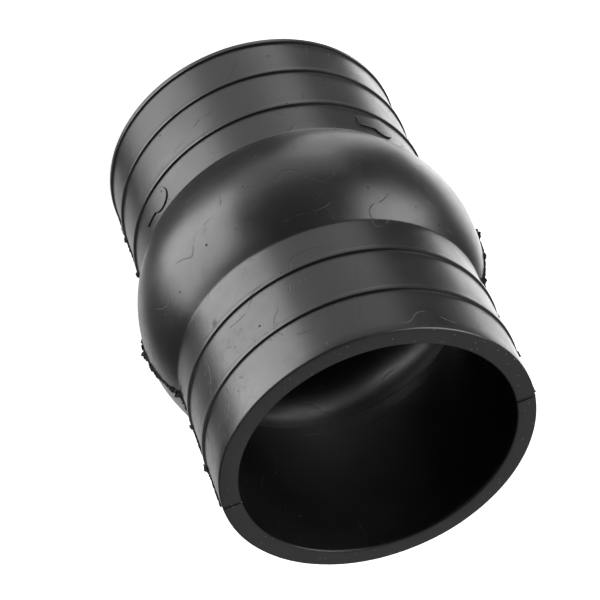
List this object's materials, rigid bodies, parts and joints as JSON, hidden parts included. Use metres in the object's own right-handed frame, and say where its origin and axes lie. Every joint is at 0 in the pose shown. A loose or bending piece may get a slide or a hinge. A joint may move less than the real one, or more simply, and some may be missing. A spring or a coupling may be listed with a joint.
{
  "type": "exhaust bellows",
  "caption": "Moulded rubber exhaust bellows: two straight cuffs with raised clamp lines, joined by one rounded bulge, open from end to end.",
  "frame": {"origin": "centre of the far end face, on the part's axis", "axes": "+Z along the axis from the far end to the near end, X in the mould's parting plane"},
  "size_m": [0.1164, 0.1152, 0.1456],
  "materials": {
    "rubber": "satin moulded black rubber"
  },
  "bodies": {
    "root": {"bellows": "rubber"}
  },
  "joints": []
}
